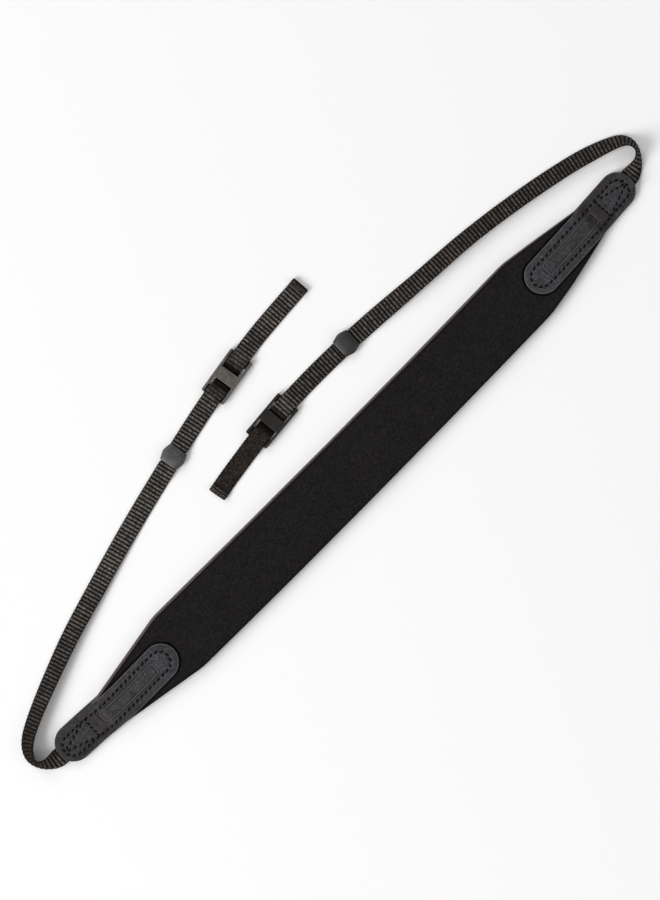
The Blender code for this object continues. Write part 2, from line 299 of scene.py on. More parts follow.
def grainGroup():  # rounded pebbles with creases between them, and a finer tooth on top
    tree, given, out = newGroup("pebble grain", ("Vector", "Size", "Tooth"), ("Height", "Crease"))
    scale = maths("DIVIDE", 1.0, given["Size"])
    wander = node("TexNoise", {"Vector": given["Vector"], "Scale": times(scale, 0.5)})
    push = node("VectorMath", {0: wander.outputs["Color"], 1: (0.5, 0.5, 0.5)}, operation="SUBTRACT")
    far = node("VectorMath", {0: push.outputs[0], "Scale": given["Size"]}, operation="SCALE")
    place = node("VectorMath", {0: given["Vector"], 1: far.outputs[0]}, operation="ADD").outputs[0]
    cells = node("TexVoronoi", {"Vector": place, "Scale": scale}, feature="DISTANCE_TO_EDGE")
    crease = remap(cells.outputs["Distance"], 0.0, 0.28)
    tooth = noiseAt(given["Vector"], times(scale, 3.0))
    feed(out["Height"], plus(crease, times(tooth, given["Tooth"])))
    feed(out["Crease"], less(1.0, crease))
    return tree


def threadGroup():  # rows of short thread floats; every other row is set off by a share of a column
    sockets = ("Along", "Across", "Row", "Column", "Offset")
    tree, given, out = newGroup("thread rows", sockets, ("Height", "Column Height", "Float Shade", "Row Shade"))
    row = maths("DIVIDE", given["Along"], given["Row"])
    wholeRow = maths("FLOOR", row)
    odd = times(maths("MODULO", wholeRow, 2.0), given["Offset"])
    column = plus(maths("DIVIDE", given["Across"], given["Column"]), odd)
    overColumn = arches(column)
    cell = node("CombineXYZ", {0: wholeRow, 1: maths("FLOOR", column)}).outputs[0]
    feed(out["Height"], maths("POWER", times(arches(row), overColumn), 0.6))
    feed(out["Column Height"], overColumn)
    feed(out["Float Shade"], node("TexWhiteNoise", {"Vector": cell}, noise_dimensions="2D").outputs[0])
    feed(out["Row Shade"], node("TexWhiteNoise", {"W": wholeRow}, noise_dimensions="1D").outputs[0])
    return tree


patches, pebbles, threads = mottleGroup(), grainGroup(), threadGroup()


def mottle(place, size):  # slow uneven patches, 0 to 1
    return useGroup(patches, place, size)["Value"]


def newFinish(name, **constants):  # a material whose constant values sit on the shader's own sockets
    finish = bpy.data.materials.new(name)
    finish.use_nodes = True
    Nodes.tree = finish.node_tree
    shader = Nodes.tree.nodes["Principled BSDF"]
    for key, value in constants.items():
        shader.inputs[key.replace("_", " ")].default_value = value
    return finish


def endFinish(finish, colour, height, deep, strength, rough=None):
    inputs = Nodes.tree.nodes["Principled BSDF"].inputs
    feed(inputs["Base Color"], colour)
    if rough is not None:
        feed(inputs["Roughness"], rough)
    bump = node("Bump", {"Height": height, "Distance": deep, "Strength": strength})
    feed(inputs["Normal"], bump.outputs[0])
    return finish


def objectPlace(turn=0.0):  # object coordinates, turned so that X runs along the piece
    place = node("TexCoord").outputs["Object"]
    if not turn:
        return place
    return node("Mapping", {"Vector": place, "Rotation": (0, 0, -turn)}).outputs[0]


def split(vector):
    return node("SeparateXYZ", {0: vector}).outputs


def ownMap():
    return split(node("UVMap", uv_map="cloth").outputs[0])


print("frame loaded, node groups ready")


webbing = {
    "width": 10.2 * mm,
    "thickness": 1.3 * mm,
    "ribPitch": 2.07 * mm,
    "ribDepth": 0.42 * mm,
    "notch": 0.2 * mm,  # of the selvedge between two ribs
    "columns": 20,  # warp threads across
    "columnDepth": 0.07 * mm,
    "rowDepth": 0.05 * mm,  # of the plain face
    "hemLong": 4.0 * mm,
    "hemPress": 0.18 * mm,  # how far its loose end is ironed down
    "hemRadius": 0.8 * mm,  # of the fold, at the middle of the cloth
    "exitRamp": 9.0 * mm,
    "stiff": 3.2 * mm,  # how far to each side a bend is spread
    "flatBefore": 25.0 * mm,  # how far before its keeper that ends
    "pinch": 0.52 * mm,  # how far a keeper squeezes its two edges in
    "used": {  # how much darker, with use and with painted shade at the turn by the tab and around the slides, in rows of mm past the tab and an amount
        1: (
            (0, 0.1), (14, 0.55), (32, 0.42), (50, 0.27), (80, 0.24), (120, 0.02), (175, -0.08), (233, 0.0),
            (238, 0.34), (252, 0.34), (259, 0.03),
        ),
        2: (
            (0, 0.05), (16, 0.12), (40, 0.27), (150, 0.28), (185, 0.12), (215, 0.2), (263, 0.1), (268, 0.4),
            (273, 0.38), (279, 0.15), (292, 0.07),
        ),
    },
}
tabLayer = {
    "thick": 1.5 * mm,
    "gap": 0.3 * mm,  # to whatever lies on a layer, as in the solids
    "padEnd": 12.5 * mm,  # how far the pad's neck goes on past the middle of its tab
    "onPad": 5.0 * mm,  # height of the face layer's underside over the pad
}
backTop = tabLayer["thick"] + tabLayer["gap"]
keeper = {
    "long": 10.1 * mm,
    "wide": 13.1 * mm,
    "neck": 10.3 * mm,
    "high": 4.0 * mm,
    "crown": 0.77,  # height of its ends, as a share of its middle's
    "corner": 0.31,  # of its section, as a share of the width and the height
    "ridge": 0.2,  # how far along the swelling its ridge is rounded off, as a share of half its length
    "slot": (9.5 * mm, 1.7 * mm),
    "slotCorner": 0.4 * mm,
    "edge": 0.2 * mm,
    "floor": 1.0 * mm,  # under the webbing
    "back": {1: 114.0 * mm, 2: 106.3 * mm},  # from the tip of the tail
    "slip": {1: -0.05 * mm, 2: 0.2 * mm},  # towards the tip
    "turned": {1: math.radians(-3.5), 2: 0.0},
    "aside": {1: 0.0, 2: -0.3 * mm},  # to the left of the webbing's middle
    "rest": 1.0 * mm,  # how far the webbing stays level beside it before it comes down
    "ramp": 8.0 * mm,
}
buckle = {
    "long": 27.1 * mm,
    "wide": 14.2 * mm,
    "high": 3.2 * mm,
    "rail": 1.28 * mm,
    "bar": 5.0 * mm,
    "barHigh": 1.5 * mm,
    "plate": 6.8 * mm,
    "sway": {1: (-0.45 * mm, 0.3 * mm), 2: (-0.05 * mm, 0.05 * mm)},  # before and past its middle
    "plateUnder": 1.75 * mm,
    "opened": {1: 1.0, 2: 0.25},  # how far its bars spread the ribs
    "edge": 0.3 * mm,
    "corner": 0.8 * mm,
    # from the tip of the tail, and the shifts of the whole slide and of its plate
    "back": {1: 62.7 * mm, 2: 49.3 * mm},
    "slip": {1: -0.3 * mm, 2: 0.0},
    "plateSlip": {1: -0.25 * mm, 2: 0.0},
    "rest": 0.2 * mm,
    "ramp": 9.0 * mm,
    "climb": 2.6,  # above 1 the webbing rises steeply beside the plate and levels out at the bars
}
routeRows = {  # x and y in mm, and the tilt in degrees that raises the left edge
    1: (
        (-125.4, -144.4, 0.0), (-135.2, -153.5, 0.0), (-144.5, -162.0, 0.0),  # the end of its tab
        (-146.5, -163.5, -30.0), (-149.9, -165.3, -52.0), (-156.2, -165.4, -75.0), (-158.8, -163.4, -64.0),
        (-160.4, -159.9, -53.0), (-160.7, -152.0, -45.0), (-141.8, -105.2, -23.0), (-123.9, -71.3, -10.0),
        (-102.4, -33.2, 0.0), (-68.1, 22.0, 0.0), (-55.3, 40.0, 0.0), (-40.7, 60.1, 0.0), (-16.04, 89.1, 0.0),
    ),
    2: (
        (142.6, 128.5, 0.0), (150.1, 137.0, 0.0), (158.5, 146.6, 0.0),  # the end of its tab
        (160.0, 148.5, 32.0), (162.3, 154.3, 66.0), (162.1, 159.6, 77.0), (161.1, 161.7, 73.0),
        (157.0, 164.7, 57.0), (152.7, 164.7, 48.0), (135.2, 156.9, 29.0), (109.2, 140.7, 26.0),
        (74.6, 115.3, 28.0), (45.0, 89.7, 20.0), (15.4, 64.1, 0.0), (-11.0, 38.9, 0.0), (-31.6, 16.3, 0.0),
        (-53.2, -12.0, 0.0), (-60.92, -23.04, 0.0),
    ),
}
routeSteps = 24  # of the curve between two rows


def curveThrough(rows):  # centripetal Catmull-Rom
    p = np.array(rows)[:, :2] * mm
    p = np.vstack([2 * p[0] - p[1], p, 2 * p[-1] - p[-2]])
    out = []
    for a, b, c, d in zip(p, p[1:], p[2:], p[3:]):
        knots = np.cumsum([0.0, *(np.linalg.norm(n - m) ** 0.5 for m, n in ((a, b), (b, c), (c, d)))])
        for t in np.linspace(knots[1], knots[2], routeSteps, endpoint=False):
            ab, bc, cd = mix(a, b, t, *knots[:2]), mix(b, c, t, *knots[1:3]), mix(c, d, t, *knots[2:])
            abc, bcd = mix(ab, bc, t, knots[0], knots[2]), mix(bc, cd, t, knots[1], knots[3])
            out.append(mix(abc, bcd, t, *knots[1:3]))
    out.append(p[-2])
    return np.array(out)


class Route:
    shift = np.zeros(2)  # from the tables to the frame

    def __init__(self, side):
        rows = routeRows[side]
        self.points = curveThrough(rows)
        self.along = distances(self.points)
        self.tilts = [row[2] for row in rows]
        self.rows = self.along[::routeSteps]
        self.length = float(self.along[-1])
        self.keeper = self.length - keeper["back"][side]
        self.buckle = self.length - buckle["back"][side]
        self.exit = float(self.rows[2])
        self.end = self.length - webbing["hemRadius"] - webbing["thickness"] / 2  # where the hem's fold starts

    def at(self, s):
        return np.array([float(np.interp(s, self.along, self.points[:, k])) for k in (0, 1)]) + self.shift

    def tilt(self, s):
        near = np.interp(s + np.linspace(-1.5 * mm, 1.5 * mm, 7), self.rows, self.tilts)
        return math.radians(float(np.mean(near)))

    def heading(self, s):
        reach = 0.5 * mm
        s = min(max(s, reach), self.length - reach)
        ahead = self.at(s + reach) - self.at(s - reach)
        return math.atan2(ahead[1], ahead[0])

    def lift(self, s):  # how far its keeper and slide hold it off the table
        off = abs(s - self.keeper) - keeper["long"] / 2 - keeper["rest"]
        inKeeper = (keeper["floor"] + tabLayer["gap"]) * (1 - smooth(off / keeper["ramp"]))
        off = abs(s - self.buckle)
        plateEdge, barEdge = buckle["plate"] / 2 + buckle["rest"], buckle["long"] / 2 - buckle["bar"]
        climb = 1 - (1 - np.clip((off - plateEdge) / (barEdge - plateEdge), 0, 1)) ** buckle["climb"]
        fall = 1 - smooth((off - buckle["long"] / 2) / buckle["ramp"])
        return max(inKeeper, (buckle["barHigh"] + tabLayer["gap"]) * climb * fall)

    def section(self, s):  # the middle of the webbing and the direction to its left edge
        x, y = self.at(s)
        tilt, turn = self.tilt(s), self.heading(s)
        left = Vector((-math.sin(turn) * math.cos(tilt), math.cos(turn) * math.cos(tilt), math.sin(tilt)))
        rest = (webbing["width"] * abs(math.sin(tilt)) + webbing["thickness"] * math.cos(tilt)) / 2
        inTab = backTop * (1 - smooth((s - self.exit) / webbing["exitRamp"]))
        return Vector((x, y, max(rest + self.lift(s), inTab + webbing["thickness"] / 2))), left

    def eased(self, s):  # between its tab and its keeper the webbing is too stiff for the table's sharpest bends
        reach = min(s - self.exit + 0.8 * mm, webbing["stiff"], self.keeper - webbing["flatBefore"] - s)
        if reach <= 0:
            return self.section(s)
        near = [self.section(s + d) for d in np.linspace(-reach, reach, 9)]
        middle = sum((m for m, _ in near), Vector()) / len(near)
        return middle, sum((v for _, v in near), Vector()).normalized()

    def withHem(self, s):  # goes on past the tip, round the fold and back over the top
        if s <= self.end:
            return self.eased(s)
        middle, left = self.section(self.end)
        turn, radius = self.heading(self.length), webbing["hemRadius"]
        ahead = Vector((math.cos(turn), math.sin(turn), 0))
        bend = min((s - self.end) / radius, math.pi)
        middle = middle + ahead * radius * math.sin(bend) + Vector((0, 0, radius * (1 - math.cos(bend))))
        back = max(s - self.end - math.pi * radius, 0.0)
        press = webbing["hemPress"] * float(smooth(back / webbing["hemLong"]))
        return middle - ahead * back - Vector((0, 0, press)), left


low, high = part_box("buckle_1")
firstRoute = Route(1)
Route.shift = np.array(((low + high) / 2)[:2]) - firstRoute.at(firstRoute.buckle)
routes = {side: Route(side) for side in routeRows}
print("strap shift in mm", (Route.shift / mm).round(4).tolist())


view = {"scale": 0.53 * mm, "middle": (-0.795 * mm, 1.06 * mm), "height": 2.0, "pixelsHigh": 900}


def addCamera():
    data = bpy.data.cameras.new("overhead")
    data.sensor_width = 36.0
    data.lens = data.sensor_width * view["height"] / (view["scale"] * view["pixelsHigh"])
    data.clip_start, data.clip_end = 0.05, 20.0
    camera = bpy.data.objects.new("overhead", data)
    camera.location = (*(np.array(view["middle"]) + Route.shift), view["height"])
    addToScene(camera)
    bpy.context.scene.camera = camera


def addFloor():
    deselectAll()
    bpy.ops.mesh.primitive_plane_add(size=12.0, location=(0, 0, -0.05 * mm))
    floor = bpy.context.object
    floor.name = "paperFloor"
    paper = newFinish("white paper", Base_Color=rgba(0.96), Roughness=0.9, Specular_IOR_Level=0.2)
    floor.data.materials.append(paper)


def addSoftbox(name, place, side, power):
    data = bpy.data.lights.new(name, "AREA")
    data.size = side
    data.energy = power
    lamp = bpy.data.objects.new(name, data)
    lamp.location = place
    lamp.rotation_mode = "QUATERNION"
    lamp.rotation_quaternion = (Vector(place) * -1).to_track_quat("-Z", "Y")
    addToScene(lamp)


def addLight():
    addSoftbox("softboxLowerLeft", (-3.0, -1.9, 2.5), 2.2, 154.0)
    addSoftbox("softboxUpperLeft", (-2.1, 2.6, 2.8), 2.4, 48.0)
    addSoftbox("softboxRight", (2.9, -1.2, 2.6), 2.2, 20.0)
    addSoftbox("softboxAbove", (0.0, 0.0, 3.4), 1.6, 5.0)
    world = bpy.data.worlds.new("studio")
    world.use_nodes = True
    background = world.node_tree.nodes["Background"].inputs
    background["Color"].default_value = rgba(1.0)
    background["Strength"].default_value = 0.3
    bpy.context.scene.world = world
    bpy.context.scene.view_settings.view_transform = "Standard"


addCamera()
addFloor()
addLight()
print("camera, floor and light ready")


tabs = {
    # middle and turn are in the tables' frame. The outline and the stitched loop each have rows of x, the line's
    # middle and its half width, in mm; these, the triangle and the pressed frame are in the tab's own x and y
    1: {
        "middle": (-113.5 * mm, -132.3 * mm),
        "turn": math.radians(223.0),
        "long": 82.6 * mm,
        "half": 9.8 * mm,
        "outline": (
            (-41.0, 0.1, 9.8), (-29.0, 0.45, 9.78), (-16.0, 1.1, 9.75), (-8.0, 1.45, 9.7), (0.0, 1.6, 9.62),
            (8.0, 1.3, 9.6), (16.0, 0.75, 9.6), (22.0, 0.4, 9.7), (32.0, 0.1, 9.75),
        ),
        "loop": (
            (-28.0, 0.1, 5.85), (-17.0, 0.7, 5.85), (-9.0, 1.15, 5.85), (0.0, 1.6, 5.8), (8.0, 1.9, 5.85),
            (12.5, 1.8, 5.9), (18.0, 1.0, 5.95), (32.0, 0.85, 5.8),
        ),
        "loopEnds": (-36.8 * mm, 37.9 * mm),
        "triangle": {"base": 18.7 * mm, "apex": 37.2 * mm, "half": 5.7 * mm, "aside": 0.76 * mm},
        "frame": {"from": -28.1 * mm, "to": 11.6 * mm, "low": -2.3 * mm, "high": 5.1 * mm},
        "slant": math.radians(26),  # of each stitch across its seam
        "outerEndShade": 0.42,  # how much painted shade darkens its outer end
        "shadedSide": 0.0,
        "side": 1,
    },
    2: {
        "middle": (131.2 * mm, 115.8 * mm),
        "turn": math.radians(48.3),
        "long": 79.4 * mm,
        "half": 9.5 * mm,
        "outline": (
            (-39.0, -0.3, 9.65), (-30.0, -0.42, 9.72), (-10.0, -0.62, 9.72), (5.0, -0.66, 9.66),
            (11.0, -0.4, 9.7), (18.5, -0.05, 9.5), (30.0, 0.0, 9.46),
        ),
        "loop": (
            (-30.0, -0.34, 5.65), (-10.0, -0.6, 5.82), (5.0, -0.85, 5.95), (11.0, -0.95, 6.05),
            (18.0, -0.55, 6.0), (30.0, -0.45, 5.9),
        ),
        "loopEnds": (-36.1 * mm, 35.9 * mm),
        "triangle": {"base": 17.8 * mm, "apex": 35.6 * mm, "half": 5.3 * mm, "aside": -0.72 * mm},
        "frame": {"from": -27.1 * mm, "to": 12.6 * mm, "low": -4.4 * mm, "high": 3.6 * mm},
        "slant": math.radians(12),
        "outerEndShade": 0.15,
        "shadedSide": 0.9,  # painted shade along the left side of its outer half
        "side": 2,
    },
}
pad = {
    "middle": (10.9 * mm, -7.0 * mm),
    "turn": math.radians(45.3),
    "thick": 5.0 * mm,
    "sewn": 3.0 * mm,
    "round": 0.45 * mm,
    "ramp": 16.0 * mm,
    "columns": 88,
    "crease": 1.5 * mm,  # how deep the sewn tab pulls the pad in along its edge
    "creaseWide": 0.62 * mm,
    "spring": 2.5,  # how steeply it rises again beside a tab
    "leanRight": 0.1 * mm,
    "bulge": 0.1 * mm,  # how far the middle of the cut is drawn in
    "fineNear": 56.0 * mm,  # how much of each end is near a tab
}
padRows = (  # in mm: along, the table side's edges to the left and right, and how far the cut on the left leans in
    (-190.0, 9.0, 9.1, 1.5), (-175.0, 11.5, 11.7, 1.5), (-150.0, 15.7, 15.9, 1.5), (-131.5, 18.8, 19.1, 1.5),
    (-100.0, 18.5, 19.6, 1.5), (-60.0, 18.0, 20.0, 1.25), (0.0, 17.7, 20.1, 1.2), (60.0, 17.9, 19.8, 1.35),
    (100.0, 18.3, 19.4, 1.35), (131.0, 18.7, 18.9, 1.0), (150.0, 15.8, 15.9, 0.8), (175.0, 11.7, 10.4, 0.6),
    (190.0, 9.2, 7.0, 0.4),
)


def toWorld(place, turn, x, y):  # from a piece's own x and y to the frame's
    place = np.array(place) + Route.shift
    dx, dy = turned(x, y, -turn)
    return place[0] + dx, place[1] + dy


def toLocal(place, turn, x, y):
    place = np.array(place) + Route.shift
    return turned(x - place[0], y - place[1], turn)


def fromRows(rows, x, column):  # a column of a table at x, with its corners rounded off
    table = np.array(rows) * mm
    near = np.linspace(-2.5 * mm, 2.5 * mm, 5)
    return np.mean([np.interp(x + n, table[:, 0], table[:, column]) for n in near], axis=0)


def padReach():  # the ends of its necks, hidden in the tabs
    out = []
    for tab, way in ((tabs[1], -1), (tabs[2], 1)):
        x, y = np.array(tab["middle"]) + Route.shift
        out.append(toLocal(pad["middle"], pad["turn"], x, y)[0] + way * tabLayer["padEnd"])
    return out


padFrom, padTo = padReach()


def padLevels(along):  # underside and top, rising over the back leather at the necks
    sewnFrom = padFrom + tabLayer["padEnd"] + tabs[1]["long"] / 2
    sewnTo = padTo - tabLayer["padEnd"] - tabs[2]["long"] / 2
    near = smooth(np.maximum(sewnFrom - along, along - sewnTo) / pad["ramp"] + 1)
    return backTop * near, pad["thick"] + (backTop + pad["sewn"] - pad["thick"]) * near


def outsideTab(tab, x, y):  # how far a place, in the tab's own x and y, is outside its outline
    straight = tab["long"] / 2 - tab["half"]
    past = np.maximum(np.abs(x) - straight, 0.0)
    level = (y - fromRows(tab["outline"], x, 1)) * tab["half"] / fromRows(tab["outline"], x, 2)
    return np.hypot(past, level) - tab["half"]


def leatherUnder(tab, x, y):  # the underside of the face leather as it lies over pad, webbing and back leather
    wx, wy = toWorld(tab["middle"], tab["turn"], x, y)
    along, across = toLocal(pad["middle"], pad["turn"], wx, wy)
    inside = np.minimum(fromRows(padRows, along, 1) - across, fromRows(padRows, along, 2) + across)
    overPad = rise(inside, -1, 4) * (1 - rise(x, 6.5, 9))
    route = routes[tab["side"]]
    line = [toLocal(tab["middle"], tab["turn"], *route.at(s)) for s in np.linspace(0, route.exit, 9)]
    webbingMiddle = np.interp(x, [p[0] for p in line], [p[1] for p in line])
    aside = np.abs(y - webbingMiddle) - webbing["width"] / 2
    overWebbing = (1 - rise(aside, -0.2, 3.6)) * rise(x, 9, 5)
    low, onWebbing = tabLayer["thick"] + 0.08 * mm, backTop + webbing["thickness"] + 0.1 * mm
    onPad = tabLayer["onPad"] - 0.5 * mm * hump(np.maximum(-outsideTab(tab, x, y), 0), 2.2 * mm)
    return low + (onPad - low) * overPad + (onWebbing - low) * overWebbing * (1 - overPad)


def knitFinish():
    finish = newFinish("black knit", Roughness=0.9, Sheen_Weight=0.05, Sheen_Roughness=0.4, Specular_IOR_Level=0.12)
    place = objectPlace(pad["turn"])
    along, across, _ = split(place)
    knit = useGroup(threads, along, across, 0.42 * mm, 0.56 * mm, 0.5)
    fuzz = noiseAt(place, 1400.0)
    colour = ramp(knit["Height"], (0.0, (0.0035, 0.0031, 0.0034)), (0.8, (0.0105, 0.0094, 0.0099)))
    lighter = ramp(fuzz, (0.3, (0.004, 0.0036, 0.0038)), (0.75, (0.0155, 0.0138, 0.0147)))
    colour = tinted(
        blendColour(0.5, colour, lighter),
        (knit["Float Shade"], 0.6, 1.6),
        (mottle(place, 1.5 * mm), 0.66, 1.5),
        (mottle(place, 9 * mm), 0.88, 1.12),
        (mottle(place, 1.8 * mm), (1.16, 0.96, 0.95), (0.9, 1.03, 1.02)),
    )
    darkBesideCut = (mask("darkBesideCut"), 1.0, (0.004, 0.0014, 0.0016))  # darker beside the cut
    shadeByTab = (mask("shadeByTab"), 1.0, (0.0022, 0.0018, 0.002))  # painted shade where a tab presses it down
    height = plus(knit["Height"], times(fuzz, 0.7))
    return endFinish(finish, coated(colour, darkBesideCut, shadeByTab), height, 0.1 * mm, 0.8)


def foamFinish():  # the cut wall: v of its own map runs from the table side to the top
    finish = newFinish("cut foam edge", Roughness=0.88, Specular_IOR_Level=0.3)
    place = objectPlace(pad["turn"])
    pores = useGroup(pebbles, place, 0.35 * mm, 0.6)
    colour = ramp(
        ownMap()[1],
        (0.0, (0.012, 0.011, 0.012)),
        (0.08, (0.02, 0.018, 0.019)),
        (0.13, (0.16, 0.138, 0.143)),
        (0.46, (0.11, 0.09, 0.095)),
        (0.54, (0.06, 0.045, 0.048)),
        (0.62, (0.12, 0.1, 0.104)),
        (0.86, (0.16, 0.135, 0.138)),
        (0.92, (0.03, 0.012, 0.012)),
        (1.0, (0.006, 0.0025, 0.0027)),
    )
    # painted shade in the pores
    colour = coated(colour, (pores["Crease"], 0.4, (0.02, 0.016, 0.017)))
    colour = tinted(colour, (mottle(place, 5 * mm), (0.85, 0.8, 0.8), (1.1, 1.1, 1.12)))
    return endFinish(finish, colour, pores["Height"], 0.08 * mm, 0.7)


def padStations():  # close together near the tabs
    parts = []
    fine = pad["fineNear"]
    for a, b, step in ((padFrom, padFrom + fine, 0.4), (padFrom + fine, padTo - fine, 2.4), (padTo - fine, padTo, 0.4)):
        parts.append(np.linspace(a, b, round((b - a) / (step * mm)), endpoint=False))
    return np.concatenate([*parts, [padTo]])


def wallProfile():  # how far in from the wall, and the height as a share with a fixed part in mm, going up
    r, out = pad["round"], []
    for a in np.radians((0, 30, 60, 90)):
        out.append((r * (1 - math.sin(a)), 0.0, r * (1 - math.cos(a))))
    for share in (0.25, 0.5, 0.75):
        out.append((pad["bulge"] * math.sin(math.pi * share), share, 0.0))
    return out + [(inward, 1.0, -extra) for inward, _, extra in out[3::-1]]


def makePad():
    along = padStations()
    left, right, leanLeft = (fromRows(padRows, along, k) for k in (1, 2, 3))
    under, top = padLevels(along)
    ends = rise(along - padFrom, 0, 2) * rise(padTo - along, 0, 2)  # its ends are squeezed thin
    columns = []  # of the section's outline: the place across, the height, v and the finish

    def addWall(profile, edge, lean, side):
        for inward, share, extra in profile:
            v = np.clip(share + extra / (top - under), 0, 1)
            columns.append((side * (edge - lean * v - inward), under + (top - under) * v, v, 1))

    def addFace(start, stop, height, count):
        columns[-1] = (*columns[-1][:3], 0)
        for t in np.arange(1, count) / count:
            columns.append((start + (stop - start) * t, height, np.full_like(along, t), 0))

    leftTop, rightTop = left - leanLeft - pad["round"], -(right - pad["leanRight"] - pad["round"])
    addWall(wallProfile(), left, leanLeft, 1)
    addFace(leftTop, rightTop, top, pad["columns"])
    addWall(reversed(wallProfile()), right, pad["leanRight"], -1)
    addFace(pad["round"] - right, left - pad["round"], under, 16)
    across, height, v = (np.stack([column[k] for column in columns], 1) for k in range(3))
    slots = np.repeat([[column[3] for column in columns]], len(along), 0)
    alongAll = np.repeat(along[:, None], len(columns), 1)
    uv = np.stack([alongAll - padFrom, v], -1)
    x, y = toWorld(pad["middle"], pad["turn"], alongAll, across)

    under, top, ends, leftTop, rightTop = (each[:, None] for each in (under, top, ends, leftTop, rightTop))
    share = (height - under) / (top - under)
    fromEdge = np.minimum(leftTop - across, across - rightTop)
    darkBesideCut = np.where(share > 0.9, hump(np.maximum(fromEdge, 0), 0.62 * mm), 0.0)
    shadeByTab = np.zeros_like(across)
    wave = waviness(alongAll, across, 28 * mm, 3.0) * 0.11 * mm + waviness(alongAll, across, 9 * mm, 7.0) * 0.03 * mm
    roof = top + wave
    for tab in tabs.values():
        tx, ty = toLocal(tab["middle"], tab["turn"], x, y)
        outside = outsideTab(tab, tx, ty)
        beside = rise(fromEdge, -0.4, 1.6)  # a tab doesn't press on the cut itself
        roof = roof - pad["crease"] * hump(np.maximum(outside, 0), pad["creaseWide"]) * beside
        # painted shade on the pad along each tab's edge
        shadeByTab = np.maximum(shadeByTab, hump(np.maximum(outside - 0.35 * mm, 0), 0.6 * mm) * (share > 0.9))
        roof = np.minimum(roof, leatherUnder(tab, tx, ty) - 0.1 * mm + pad["spring"] * np.maximum(outside, 0))
    roof = under + (roof - under) * (0.35 + 0.65 * ends)
    height = under + (roof - under) * share
    points = np.stack([x, y, height], -1)
    piece = gridObject("neckPad", points, uv, slots, (knitFinish(), foamFinish()), caps=True)
    setMask(piece, "darkBesideCut", darkBesideCut)
    setMask(piece, "shadeByTab", shadeByTab)
    tidyMesh(piece, sharpAngle=60)
    finishPiece(piece, "pad_cloth", "neck_pad")


stitch = {
    "long": 1.9 * mm,
    "thick": 0.56 * mm,
    "flat": 0.64,
    "pitch": 3.2 * mm,
    "pitchAcross": 2.72 * mm,  # over the webbing
    "segments": 9,
    "twist": math.radians(400),
    "narrowed": 0.45,  # at its ends
    "sunk": 0.45 * mm,
}


def threadFinish():
    finish = newFinish("waxed black thread", Roughness=0.6, Specular_IOR_Level=0.08)
    place = objectPlace()
    colour = ramp(mottle(place, 1.2 * mm), (0.0, 0.0012), (1.0, 0.0032))
    return endFinish(finish, colour, noiseAt(place, 6000.0), 0.03 * mm, 0.6)


def makeStitch(finish):  # two plies twisted together, bent down at both ends
    long, thick, lying = stitch["long"], stitch["thick"], (0, math.pi / 2, 0)
    add = bpy.ops.mesh.primitive_cylinder_add
    piece = startShape("stitch", add, vertices=8, radius=thick, depth=long, location=(0, 0, 0), rotation=lying)
    bpy.ops.mesh.select_all(action="DESELECT")
    bm = bmesh.from_edit_mesh(piece.data)
    for edge in bm.edges:  # the long ones
        edge.select_set(abs(edge.verts[0].co.x - edge.verts[1].co.x) > long / 2)
    bmesh.update_edit_mesh(piece.data)
    bpy.ops.mesh.subdivide(number_cuts=stitch["segments"] - 1)
    selectAll()
    bpy.ops.transform.resize(value=(1, stitch["flat"], 1))
    endShape()
    applyModifier(piece, "SIMPLE_DEFORM", deform_method="TWIST", deform_axis="X", angle=stitch["twist"])
    for v in piece.data.vertices:
        t = min(abs(v.co.x) / (long / 2), 1.0) ** 3
        narrow = 1 - stitch["narrowed"] * t
        v.co.y *= narrow
        v.co.z = v.co.z * narrow - stitch["sunk"] * t
    piece.data.materials.append(finish)
    piece.data.shade_smooth()
    return piece


def walkStitches(points, pitch):  # evenly spaced middles of stitches along a line, with their headings
    along = distances(points)
    count = max(round(along[-1] / pitch), 1)
    out = []
    for k in range(count):
        s = (k + 0.5) * along[-1] / count
        a, b, c = ([np.interp(s + d, along, points[:, i]) for i in (0, 1)] for d in (-0.4 * mm, 0, 0.4 * mm))
        out.append((*b, math.atan2(c[1] - a[1], c[0] - a[0])))
    return out


def stitchPlaces(tab):  # the loop and the triangle over the webbing, in the tab's own x and y
    (start, end), r = tab["loopEnds"], 5.85 * mm
    turns = np.radians(np.linspace(-90, 90, 13))
    loop = [(end - r + r * math.cos(a), math.sin(a)) for a in turns]
    loop += [(start + r - r * math.cos(a), -math.sin(a)) for a in turns]
    fine = []
    for (x0, y0), (x1, y1) in zip(loop, loop[1:] + loop[:1]):
        for t in np.linspace(0, 1, 24, endpoint=False):
            x, y = x0 + (x1 - x0) * t, y0 + (y1 - y0) * t
            fine.append((x, float(fromRows(tab["loop"], x, 1) + y * fromRows(tab["loop"], x, 2))))
    lines = [([*fine, fine[0]], stitch["pitch"])]
    corner = tab["triangle"]
    base, apex, half, aside = corner["base"], corner["apex"], corner["half"], corner["aside"]
    reach = half + 1.1 * mm  # its base runs on into the loop on both sides
    lines.append(([(base, aside + reach), (base, aside - reach)], stitch["pitchAcross"]))
    for side in (-1, 1):
        ends = [(base + 2.4 * mm, aside + side * (half - 0.4 * mm)), (apex, aside + side * 0.25 * mm)]
        lines.append((ends, stitch["pitch"]))
    out = [place for points, pitch in lines for place in walkStitches(np.array(points), pitch)]
    return [(x, y, heading + tab["slant"]) for x, y, heading in out]


def stitchDent(x, y, places, wide=0.5 * mm, deep=0.45 * mm):  # how far the thread has pulled the leather in
    dent = np.zeros_like(x)
    for sx, sy, heading in places:
        along, across = turned(x - sx, y - sy, heading)
        past = np.maximum(np.abs(along) - stitch["long"] / 2 + 0.25 * mm, 0)
        dent = np.maximum(dent, deep * hump(np.hypot(past, across), wide))
    return dent


